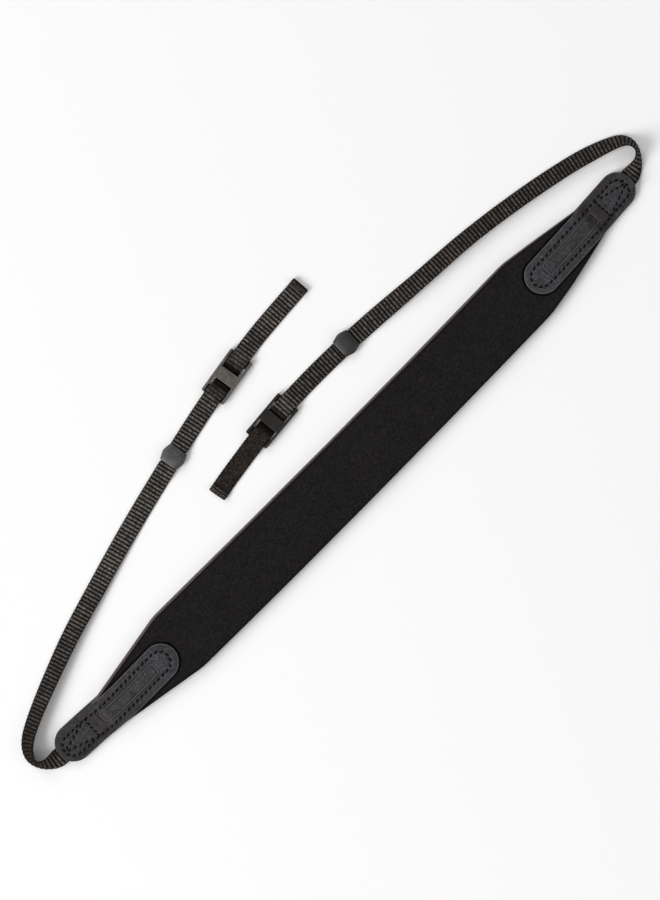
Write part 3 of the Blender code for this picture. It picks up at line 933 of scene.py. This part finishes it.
leather = {
    "backMargin": 0.4 * mm,
    "edge": 0.38 * mm,  # radius of its rubbed edges
    "seamDeep": 0.14 * mm,  # of the channel that the seam pulls in
    "lineWide": 0.28 * mm,  # of the pressed frame's lines
    "lineDeep": 0.36 * mm,
    "lineGap": 1.15 * mm,
    "ridgeHigh": 0.1 * mm,  # between the lines
    "fieldDeep": 0.06 * mm,
    "wave": 0.06 * mm,
    "frameCorner": 1.8 * mm,
    "threadSunk": 0.3 * mm,
}


def leatherFinish():
    finish = newFinish("grey tab leather", Specular_IOR_Level=0.32)
    place = objectPlace()
    grain = useGroup(pebbles, place, 0.55 * mm, 0.55)
    small = mottle(place, 0.9 * mm)
    base = ramp(mottle(place, 7 * mm), (0.0, (0.0265, 0.0255, 0.0265)), (1.0, (0.044, 0.042, 0.048)))
    # painted highlight: lighter, bluer patches at the inner end and over the triangle
    paintedHighlight = (mask("paintedHighlight"), 0.6, (0.047, 0.0455, 0.0555))
    # painted shade where the leather dips past the pad's end, over its outer end and along one side
    tabShade = (mask("tabShade"), 1.0, (0.0192, 0.0122, 0.0138))
    base = tinted(
        coated(base, paintedHighlight, tabShade),
        (mottle(place, 4 * mm), (0.97, 1.02, 0.88), (1.04, 0.97, 1.1)),
        (mottle(place, 2.3 * mm), 0.45, 1.6),
        (small, 0.15, 2.1),
    )
    base = coated(
        base,
        # painted shade in the grain's creases
        (grain["Crease"], 0.6, (0.007, 0.0065, 0.008)),
        # the pressed frame's lines, and painted shade in and around the stitch holes
        (mask("pressedLinesAndHoleShade"), 0.77, (0.003, 0.003, 0.0038)),
        # painted highlight on the rim and on the frame's ridge, with some wear
        (mask("wearAndHighlight"), 0.8, (0.115, 0.112, 0.12)),
        (mask("dyed"), 0.9, (0.004, 0.004, 0.0045)),
    )
    wrinkles = times(noiseAt(place, 260.0, 4.0), 2.0)
    rough = remap(plus(grain["Crease"], small), 0.0, 2.0, 0.42, 0.66)
    return endFinish(finish, base, plus(grain["Height"], wrinkles), 0.06 * mm, 0.9, rough)


def roundStrip(long, half, step):  # round the outline: middle-line x, and the way out from it
    straight = long / 2 - half
    run = np.linspace(straight, -straight, round(2 * straight / step) + 1)
    turns = np.linspace(-math.pi / 2, math.pi / 2, round(math.pi * half / step) + 1)[1:-1]
    x = np.concatenate([run, np.full(len(turns), -straight), run[::-1], np.full(len(turns), straight)])
    up = np.full(len(run), math.pi / 2)
    angle = np.concatenate([up, turns + math.pi, -up, turns])
    return x, np.cos(angle), np.sin(angle)


def insets(half, step):  # ring distances in from the edge: close together on the rounded edge
    edge = leather["edge"]
    fine = [edge * (1 - math.cos(math.radians(a))) for a in (0, 25, 48, 70, 90)]
    even = np.linspace(edge + step * 0.6, half, round((half - edge) / step)).tolist()
    return np.array(fine + even)


def edgeDrop(inset):  # how far the rounded edge falls below the face
    r = leather["edge"]
    return r - np.sqrt(np.maximum(r * r - np.maximum(r - inset, 0) ** 2, 0))


def pressedFrame(tab, x, y):  # each 0 to 1: its two lines, the ridge between them, and the bare field inside
    box, r = tab["frame"], leather["frameCorner"]
    cx, cy = (box["from"] + box["to"]) / 2, (box["low"] + box["high"]) / 2
    cy = cy + fromRows(tab["outline"], x, 1) - fromRows(tab["outline"], cx, 1)
    dx = np.abs(x - cx) - (box["to"] - box["from"]) / 2 + r
    dy = np.abs(y - cy) - (box["high"] - box["low"]) / 2 + r
    outside = np.hypot(np.maximum(dx, 0), np.maximum(dy, 0)) + np.minimum(np.maximum(dx, dy), 0) - r
    gap, wide = leather["lineGap"], leather["lineWide"]
    lines = np.maximum(hump(outside, wide), hump(outside + gap, wide))
    return lines, hump(outside + gap / 2, 0.3 * mm), rise(-(outside + gap), 0, 0.5)


def makeLayer(name, tab, margin, share, heights, steps, finish):
    # one leather layer; heights gives the underside, the top and the masks at places in the tab's x and y,
    # and share says how far it follows the face's outline
    half = tab["half"] + margin
    lineX, outX, outY = roundStrip(tab["long"] + 2 * margin, half, steps[0])
    inset = np.repeat(insets(half, steps[1])[:, None], len(lineX), 1)
    x = lineX + outX * (half - inset)
    wide = 1 + (fromRows(tab["outline"], x, 2) / tab["half"] - 1) * share
    y = outY * (half - inset) * wide + fromRows(tab["outline"], x, 1) * share
    under, top, masks = heights(x, y, inset)
    wx, wy = toWorld(tab["middle"], tab["turn"], x, y)
    upper = np.stack([wx, wy, top - edgeDrop(inset)], -1)[::-1]
    points = np.concatenate([upper, np.stack([wx, wy, under + edgeDrop(inset)], -1)])
    uv = np.concatenate([np.stack([x, y], -1)[::-1], np.stack([x, y], -1)]) + 0.06
    piece = gridObject(name, points, uv, np.zeros(points.shape[:2], int), (finish,))
    wall = hump(inset, 0.06 * mm)
    masks["wearAndHighlight"] = masks["wearAndHighlight"] * (1 - wall)
    for label in ("pressedLinesAndHoleShade", "wearAndHighlight", "tabShade", "paintedHighlight"):
        setMask(piece, label, np.concatenate([masks.get(label, 0 * x)[::-1], 0 * x]))
    setMask(piece, "dyed", np.concatenate([wall[::-1], hump(inset, 0.3 * mm)]))
    tidyMesh(piece)
    return piece


def sewTab(tab, places, threadPiece):  # a stitch above and one below at each of the places
    turn, reach, made = tab["turn"], 0.7 * mm, []
    for sx, sy, heading in places:
        ends = np.array([(sx + d * math.cos(heading), sy + d * math.sin(heading)) for d in (-reach, reach)])
        levels = leatherUnder(tab, *ends.T) + tabLayer["thick"] - leather["threadSunk"]
        slope = math.atan2(levels[1] - levels[0], 2 * reach)
        wx, wy = toWorld(tab["middle"], turn, sx, sy)
        for height, rolled in (
            (float(levels.mean()), Matrix.Rotation(-slope, 4, "Y")),
            (stitch["thick"] + 0.02 * mm, Matrix.Rotation(math.pi, 4, "X")),
        ):
            each = threadPiece.copy()
            each.data = threadPiece.data.copy()
            rolled = Matrix.Rotation(heading + turn, 4, "Z") @ rolled
            each.data.transform(Matrix.Translation((wx, wy, height)) @ rolled)
            addToScene(each)
            made.append(each)
    pickOnly(*made)
    bpy.ops.object.join()
    return made[0]


def makeTab(side, finish, threadPiece):
    tab = tabs[side]
    places = stitchPlaces(tab)

    def seamDip(x, y):  # the loop's stitches pull a soft channel into the leather
        start, end = tab["loopEnds"]
        wide = fromRows(tab["loop"], x, 2)
        past = np.maximum(np.maximum(x - end + wide, start + wide - x), 0)
        return hump(np.abs(np.hypot(past, y - fromRows(tab["loop"], x, 1)) - wide), 0.9 * mm)

    def faceHeights(x, y, inset):
        lines, ridge, field = pressedFrame(tab, x, y)
        under = leatherUnder(tab, x, y)
        top = under + tabLayer["thick"] - leather["seamDeep"] * seamDip(x, y)
        top = top - leather["lineDeep"] * lines + leather["ridgeHigh"] * ridge - leather["fieldDeep"] * field
        top = top + waviness(x, y, 6 * mm, tab["turn"]) * leather["wave"] - stitchDent(x, y, places)
        middle = y - fromRows(tab["outline"], x, 1)
        # painted shade: the dip past the pad's end, the outer end and the left side of tab 2's outer half
        tabShades = (
            hump(x - 15.4 * mm, 2.6 * mm) * hump(middle, 6.0 * mm),
            tab["outerEndShade"] * rise(x, 12, 10),
            0.75 * hump(x - 12 * mm, 8 * mm),
            tab["shadedSide"] * rise(y, 4.5, 2.5) * rise(x, 2, 5),
        )
        # painted highlights at the inner end and over the stitched triangle
        paintedHighlight = hump(np.hypot(x - tab["frame"]["from"] + 2.6 * mm, middle * 0.6), 3.6 * mm)
        paintedHighlight = np.maximum(paintedHighlight, hump(np.hypot(x - tab["triangle"]["base"] - 6 * mm, middle), 4.2 * mm))
        # painted highlight along the rim, fading towards the outer end, and on the frame's ridge
        rimHighlight = hump(np.maximum(inset - 0.15 * mm, 0), 0.3 * mm) * (1 - 0.85 * rise(x, 2, 14))
        # painted shade in and around the stitch holes
        holeShade = stitchDent(x, y, places, wide=0.47 * mm, deep=1.5)
        return under, top, {
            "pressedLinesAndHoleShade": np.minimum(np.maximum(lines, holeShade), 1.3),
            "wearAndHighlight": np.maximum(rimHighlight, 0.6 * ridge),
            "tabShade": np.maximum.reduce(tabShades),
            "paintedHighlight": paintedHighlight,
        }

    def backHeights(x, y, inset):
        under = 0.03 * mm + 0.1 * mm * seamDip(x, y) + stitchDent(x, y, places, deep=0.4 * mm)
        return under, np.full_like(x, tabLayer["thick"]), {"wearAndHighlight": hump(inset, 0.3 * mm)}

    face = makeLayer(f"tab{side}Face", tab, 0.0, 1.0, faceHeights, (0.26 * mm, 0.26 * mm), finish)
    finishPiece(face, "tab_leather", f"tab_{side}_face")
    back = makeLayer(f"tab{side}Back", tab, leather["backMargin"], 0.3, backHeights, (0.5 * mm, 0.45 * mm), finish)
    finishPiece(back, "tab_leather", f"tab_{side}_back")
    thread = sewTab(tab, places, threadPiece)
    thread.name = f"tab{side}Thread"
    finishPiece(thread, "tab_leather")


def clothFinish(name, ribbed):
    finish = newFinish(name, Roughness=0.85, Sheen_Weight=0.03, Sheen_Roughness=0.5, Specular_IOR_Level=0.08)
    across, along, _ = ownMap()
    place = objectPlace()
    wander = less(noiseAt(place, 420.0), 0.5)  # no thread lies quite straight
    along = plus(along, times(wander, 0.55 * mm))
    column, half = webbing["width"] / webbing["columns"], webbing["width"] / 2
    row, offset = (webbing["ribPitch"], 0.0) if ribbed else (webbing["ribPitch"] / 2, 0.5)
    cloth = useGroup(threads, along, across, row, column, offset)
    if ribbed:
        wave = arches(along, row)
        uneven = times(mottle(place, 1.6 * mm), 0.3)
        opened = plus(times(mask("opened"), 0.62), uneven)
        middle = times(maths("POWER", wave, 20.0), opened)  # a rib is two rows of thread
        # the grooves between ribs, and between a rib's two rows, are painted near black: painted shade
        base = ramp(
            less(wave, middle),
            (0.0, (0.0014, 0.0011, 0.001)),
            (0.45, (0.0058, 0.004, 0.003)),
            (0.68, (0.062, 0.0572, 0.053)),
            (1.0, (0.132, 0.1245, 0.117)),
        )
        shades = ((cloth["Row Shade"], 0.78, 1.2), (cloth["Float Shade"], 0.5, 1.5))
    else:
        base = ramp(cloth["Height"], (0.0, (0.006, 0.0048, 0.004)), (0.8, (0.037, 0.0312, 0.0268)))
        shades = ((cloth["Float Shade"], 0.36, 1.64),)
    inward = less(half, maths("ABSOLUTE", less(across, half)))
    base = tinted(
        base,
        *shades,
        (mottle(place, 0.9 * mm), 0.45, 1.5),
        (mottle(place, 1.5 * mm), (1.09, 0.99, 0.88), (0.92, 1.01, 1.07)),
        (remap(inward, 0.0, 0.6 * mm, 1.0, 0.0), 1.0, 0.3),  # painted shade along the selvedge
    )
    # the mask is 0.5 as new, 1 darkest and 0 lightest; it carries painted shade, painted highlights and darkening with
    # use
    paintedLightAndWear = ramp(mask("paintedLightAndWear"), (0.0, 0.86), (0.5, 0.57), (1.0, (0.11, 0.083, 0.062)))
    base = blendColour(1.0, base, paintedLightAndWear, "MULTIPLY")
    base = tinted(base, (mottle(place, 8 * mm), (1.55, 1.58, 1.65), (1.94, 1.83, 1.72)))
    fibre = times(noiseAt(place, 4500.0), 0.7)
    height = plus(cloth["Column Height" if ribbed else "Height"], fibre)
    return endFinish(finish, base, height, 0.07 * mm if ribbed else 0.14 * mm, 0.9)


def makeWebbing(side, finishes, flipAt):
    # the ribbed face is up as far as flipAt and underneath beyond it
    route = routes[side]
    pitch, half, thickness = webbing["ribPitch"], webbing["width"] / 2, webbing["thickness"]
    total = route.end + (math.pi - 1) * webbing["hemRadius"] + webbing["hemLong"] - thickness / 2
    phases = np.array((0.0, 0.11, 0.27, 0.5, 0.73, 0.89))  # of a rib, which starts in a groove
    stations = (np.arange(int(total / pitch) + 1)[:, None] + phases).ravel() * pitch
    stations = np.append(stations[stations < total - 0.1 * mm], total)
    middles, lefts = (np.array(each) for each in zip(*(route.withHem(s) for s in stations)))
    normals = np.cross(np.gradient(middles, axis=0), lefts)
    normals /= np.linalg.norm(normals, axis=1)[:, None]

    columns = webbing["columns"]
    upper = np.linspace(1, -1, 2 * columns + 1)
    upper = np.concatenate([[1, 0.985], upper[1:-1], [-0.985, -1]])
    lower = np.array((-0.96, -0.88, -0.72, -0.5, -0.25, 0, 0.25, 0.5, 0.72, 0.88, 0.96))
    across = np.concatenate([upper, lower])
    isUpper = np.arange(len(across)) < len(upper)
    along = stations[:, None]
    isRibbed = (along < flipAt) == isUpper

    fromSlide = along - route.buckle
    pastSlide = np.abs(fromSlide) - buckle["long"] / 2
    fromKeeper = np.abs(along - route.keeper - keeper["slip"][side]) - keeper["long"] / 2
    hem = rise(along - route.end, 1.2, 0.8)
    opened = buckle["opened"][side] * (1 - rise(pastSlide, -1, 4))
    opened = np.maximum(opened, hem)
    phase = along / pitch % 1.0
    rib = np.abs(np.sin(math.pi * phase)) ** 0.8 - 0.6 * opened * hump(phase - 0.5, 0.13)
    rowDip = webbing["rowDepth"] * (1 - np.abs(np.sin(2 * math.pi * phase)))
    columnDip = webbing["columnDepth"] * (1 - np.abs(np.sin(math.pi * (across + 1) / 2 * columns)))
    dip = np.where(isRibbed, webbing["ribDepth"] * (1 - rib) + columnDip, rowDip + 0.5 * columnDip)
    body = thickness / 2 * np.sqrt(np.maximum(1 - np.abs(across) ** 9, 0))
    fade = smooth((1 - np.abs(across)) / 0.12)  # the relief dies out in the selvedge
    thick = np.maximum(body - dip * (0.35 + 0.65 * fade) * (body > 0), 0) * np.where(isUpper, 1, -1)
    pinch = webbing["pinch"] * (1 - rise(fromKeeper, -0.5, 1.4))
    width = half - webbing["notch"] * (1 - rib) - pinch
    before, past = buckle["sway"][side]
    sway = before + (past - before) * rise(fromSlide, -3.5, 7)
    middles = middles + lefts * sway * (1 - rise(pastSlide + buckle["bar"], 0, 4))
    points = middles[:, None] + lefts[:, None] * (across * width)[..., None] + normals[:, None] * thick[..., None]
    points[..., 2] = np.maximum(points[..., 2], 0.01 * mm)
    uv = np.stack(np.broadcast_arrays((across + 1) * half, along), -1)
    piece = gridObject(f"webbing{side}", points, uv, np.where(isRibbed, 0, 1), finishes, caps=True)

    # painted shade on the webbing where it dives under the slide's plate, and at the keeper's mouths
    fromPlate = np.abs(fromSlide - buckle["plateSlip"][side]) - buckle["plate"] / 2
    dark = 1 - rise(fromPlate, 0.8, np.where(fromSlide > 0, 2.6, 4.0))
    dark = np.maximum(dark, 0.95 * (1 - rise(fromKeeper, 0.4, 0.9)))
    # painted highlight on the ribs over the slide's bars
    ribHighlight = rise(fromPlate, 3.4, 2) * (1 - rise(pastSlide, 0, 3))
    # painted shade on the hem's rounded fold; the folded-back band behind it is lighter
    fold = hump(along - route.end - 0.5 * math.pi * webbing["hemRadius"], 1.4 * mm)
    # darker with use, and painted shade at the turn by the tab and around the slides, from the table
    places, amounts = np.array(webbing["used"][side]).T
    used = np.interp(along - route.exit, places * mm, amounts)
    paintedLightAndWear = 0.5 + 0.5 * np.maximum(dark, 0.9 * fold) - 0.3 * hem * (1 - fold) - 0.24 * ribHighlight + used
    setMask(piece, "opened", np.repeat(opened, len(across), 1))
    setMask(piece, "paintedLightAndWear", np.repeat(paintedLightAndWear, len(across), 1))
    tidyMesh(piece, merge=0.0005 * mm)
    finishPiece(piece, "webbing", f"webbing_{side}")
    return piece, total


def pickFaces(piece, test):  # in edit mode, by each face's middle
    bm = bmesh.from_edit_mesh(piece.data)
    bpy.ops.mesh.select_all(action="DESELECT")
    for face in bm.faces:
        face.select_set(bool(test(face.calc_center_median())))
    bmesh.update_edit_mesh(piece.data)


def rubberFinish(name, low, high):
    finish = newFinish(name, Specular_IOR_Level=0.5)
    place = objectPlace()
    slow = mottle(place, 4 * mm)
    colour = tinted(
        ramp(slow, (0.0, low), (1.0, high)),
        (mottle(place, 1.0 * mm), 0.86, 1.14),
        (mottle(place, 6 * mm), (1.03, 1.02, 0.96), (0.97, 0.98, 1.06)),
    )
    fine = useGroup(pebbles, place, 0.16 * mm, 0.8)["Height"]
    return endFinish(finish, colour, fine, 0.014 * mm, 0.6, remap(slow, 0.0, 1.0, 0.38, 0.5))


def makeKeeper(side, finish):
    # an upright rounded plate drawn along the webbing in steps, swelling to a soft ridge at its sides and domed on
    # top, with a slot cut through
    long, ridge = keeper["long"], keeper["ridge"]
    stations = np.linspace(-long / 2, long / 2, 17)
    rise = np.hypot(2 * stations / long, ridge) - ridge
    wide = keeper["neck"] + (keeper["wide"] - keeper["neck"]) * (1 - rise / rise[0])
    tall = keeper["high"] * (1 - (1 - keeper["crown"]) * (2 * stations / long) ** 2)
    plane = bpy.ops.mesh.primitive_plane_add
    piece = startShape(f"keeper{side}", plane, size=1, location=(0, 0, 0), rotation=(0, math.pi / 2, 0))
    bpy.ops.mesh.bevel(offset=keeper["corner"], segments=9, affect="VERTICES")
    selectAll()
    bpy.ops.transform.resize(value=(1, wide[0], tall[0]))
    bpy.ops.transform.translate(value=(stations[0], 0, tall[0] / 2))
    for k in range(1, len(stations)):
        step = stations[k] - stations[k - 1]
        bpy.ops.mesh.extrude_region_move(TRANSFORM_OT_translate={"value": (step, 0, 0)})
        grow = (1, wide[k] / wide[k - 1], tall[k] / tall[k - 1])
        bpy.ops.transform.resize(value=grow, center_override=(stations[k], 0, 0))
    selectAll()
    bpy.ops.mesh.normals_make_consistent(inside=False)
    endShape()

    slotMiddle = (0, 0, keeper["floor"] + tabLayer["gap"] + webbing["thickness"] / 2)
    cutter = startShape("slotCutter", bpy.ops.mesh.primitive_cube_add, size=1, location=slotMiddle)
    bpy.ops.transform.resize(value=(2 * long, *keeper["slot"]), center_override=slotMiddle)
    bpy.ops.mesh.bevel(offset=keeper["slotCorner"], segments=3, affect="EDGES")
    endShape()
    applyModifier(piece, "BOOLEAN", operation="DIFFERENCE", solver="EXACT", object=cutter)
    bpy.data.objects.remove(cutter, do_unlink=True)
    roundEdges(piece, keeper["edge"], 50)
    route = routes[side]
    middle = route.keeper + keeper["slip"][side]
    turn, aside = route.heading(middle), keeper["aside"][side]
    x, y = route.at(middle) + aside * np.array((-math.sin(turn), math.cos(turn)))
    placeHard(piece, x, y, turn + keeper["turned"][side], finish, 50)
    finishPiece(piece, "keeper_rubber", f"keeper_{side}")


def plasticFinish(name, light, dark, edge):
    finish = newFinish(name, Specular_IOR_Level=0.24)
    place = objectPlace()
    slow = mottle(place, 3.5 * mm)
    colour = tinted(ramp(slow, (0.0, dark), (1.0, light)), (mottle(place, 0.9 * mm), 0.6, 1.34))
    # painted shade on the bars beside the webbing
    shadeOnBars = (mask("shadeOnBars"), 0.9, (0.004, 0.0036, 0.0032))
    # painted highlight on the bevelled edges
    colour = coated(colour, (mask("wearAndHighlight"), 0.75, edge), shadeOnBars)
    fine = useGroup(pebbles, place, 0.13 * mm, 0.9)["Height"]
    return endFinish(finish, colour, fine, 0.014 * mm, 0.5, remap(slow, 0.0, 1.0, 0.4, 0.54))


def makeBuckle(side, finish):
    # its plan is cut up and raised in three storeys: bars and rails, rails, and rails with the plate bridged across
    b = buckle
    inner, touching = b["wide"] / 2 - b["rail"], 0.01 * mm
    half, slip = b["plate"] / 2, b["plateSlip"][side]
    slotTo = b["long"] / 2 - b["bar"]

    def raiseBy(height):
        bpy.ops.mesh.extrude_region_move(TRANSFORM_OT_translate={"value": (0, 0, height)})

    piece = startShape(f"buckle{side}", bpy.ops.mesh.primitive_plane_add, size=1, location=(0, 0, 0))
    bpy.ops.transform.resize(value=(b["long"], b["wide"], 1))
    bpy.ops.mesh.bevel(offset=b["corner"], segments=4, affect="VERTICES")
    bpy.ops.mesh.select_mode(type="FACE")
    cuts = [((x, 0, 0), (1, 0, 0)) for x in (-slotTo, slip - half, slip + half, slotTo)]
    cuts += [((0, y, 0), (0, 1, 0)) for y in (-inner, inner)]
    for place, normal in cuts:
        selectAll()
        bpy.ops.mesh.bisect(plane_co=place, plane_no=normal)
    pickFaces(piece, lambda c: abs(c.x) < slotTo and abs(c.y) < inner)
    bpy.ops.mesh.delete(type="FACE")
    selectAll()
    raiseBy(b["barHigh"])
    for low, high in ((b["barHigh"], b["plateUnder"]), (b["plateUnder"], b["high"])):
        pickFaces(piece, lambda c: abs(c.z - low) < touching and abs(c.y) > inner)
        raiseBy(high - low)
    pickFaces(piece, lambda c: abs(c.x - slip) < half and c.z > b["plateUnder"] and abs(abs(c.y) - inner) < touching)
    bpy.ops.mesh.bridge_edge_loops()
    selectAll()
    bpy.ops.mesh.normals_make_consistent(inside=False)
    bpy.ops.mesh.dissolve_limited(angle_limit=math.radians(1))
    bpy.ops.mesh.select_mode(type="VERT")
    endShape()
    roundEdges(piece, b["edge"], 40)
    wearAndHighlight, shadeOnBars = [], []  # painted highlight along its edges, and painted shade down on its bars
    for v in piece.data.vertices:
        wearAndHighlight.append(smooth((0.985 - max(abs(k) for k in v.normal)) / 0.1))
        shadeOnBars.append(v.co.z < b["barHigh"] + 0.05 * mm and abs(v.co.y) < inner + 0.02 * mm)
    setMask(piece, "wearAndHighlight", wearAndHighlight)
    setMask(piece, "shadeOnBars", shadeOnBars)
    route = routes[side]
    middle = route.buckle + b["slip"][side]
    placeHard(piece, *route.at(middle), route.heading(middle), finish, 35)
    finishPiece(piece, "buckle_plastic", f"buckle_{side}")


makePad()
tabFinish, threadPiece = leatherFinish(), makeStitch(threadFinish())
for side in tabs:
    makeTab(side, tabFinish, threadPiece)
bpy.data.objects.remove(threadPiece, do_unlink=True)

clothFinishes = (clothFinish("ribbed webbing face", True), clothFinish("plain webbing back", False))
for side, ribsUpTo in ((1, math.inf), (2, routes[2].buckle)):
    piece, clothLong = makeWebbing(side, clothFinishes, ribsUpTo)
    print("webbing", side, "is cut to", round(clothLong / mm, 1), "mm")

greyRubber = rubberFinish("grey keeper rubber", (0.038, 0.038, 0.0388), (0.068, 0.067, 0.068))
darkRubber = rubberFinish("darker keeper rubber", (0.012, 0.0118, 0.0114), (0.027, 0.0266, 0.0258))
# the first slide is the same black plastic, painted lighter as a painted reflection of the lamps
plasticPaintedLit = plasticFinish("black plastic painted lighter", (0.116, 0.106, 0.095), (0.08, 0.073, 0.065), (0.2, 0.185, 0.17))
blackPlastic = plasticFinish("black plastic", (0.0195, 0.0165, 0.0148), (0.0095, 0.008, 0.0072), (0.095, 0.09, 0.083))
makeKeeper(1, greyRubber)
makeKeeper(2, darkRubber)
makeBuckle(1, plasticPaintedLit)
makeBuckle(2, blackPlastic)
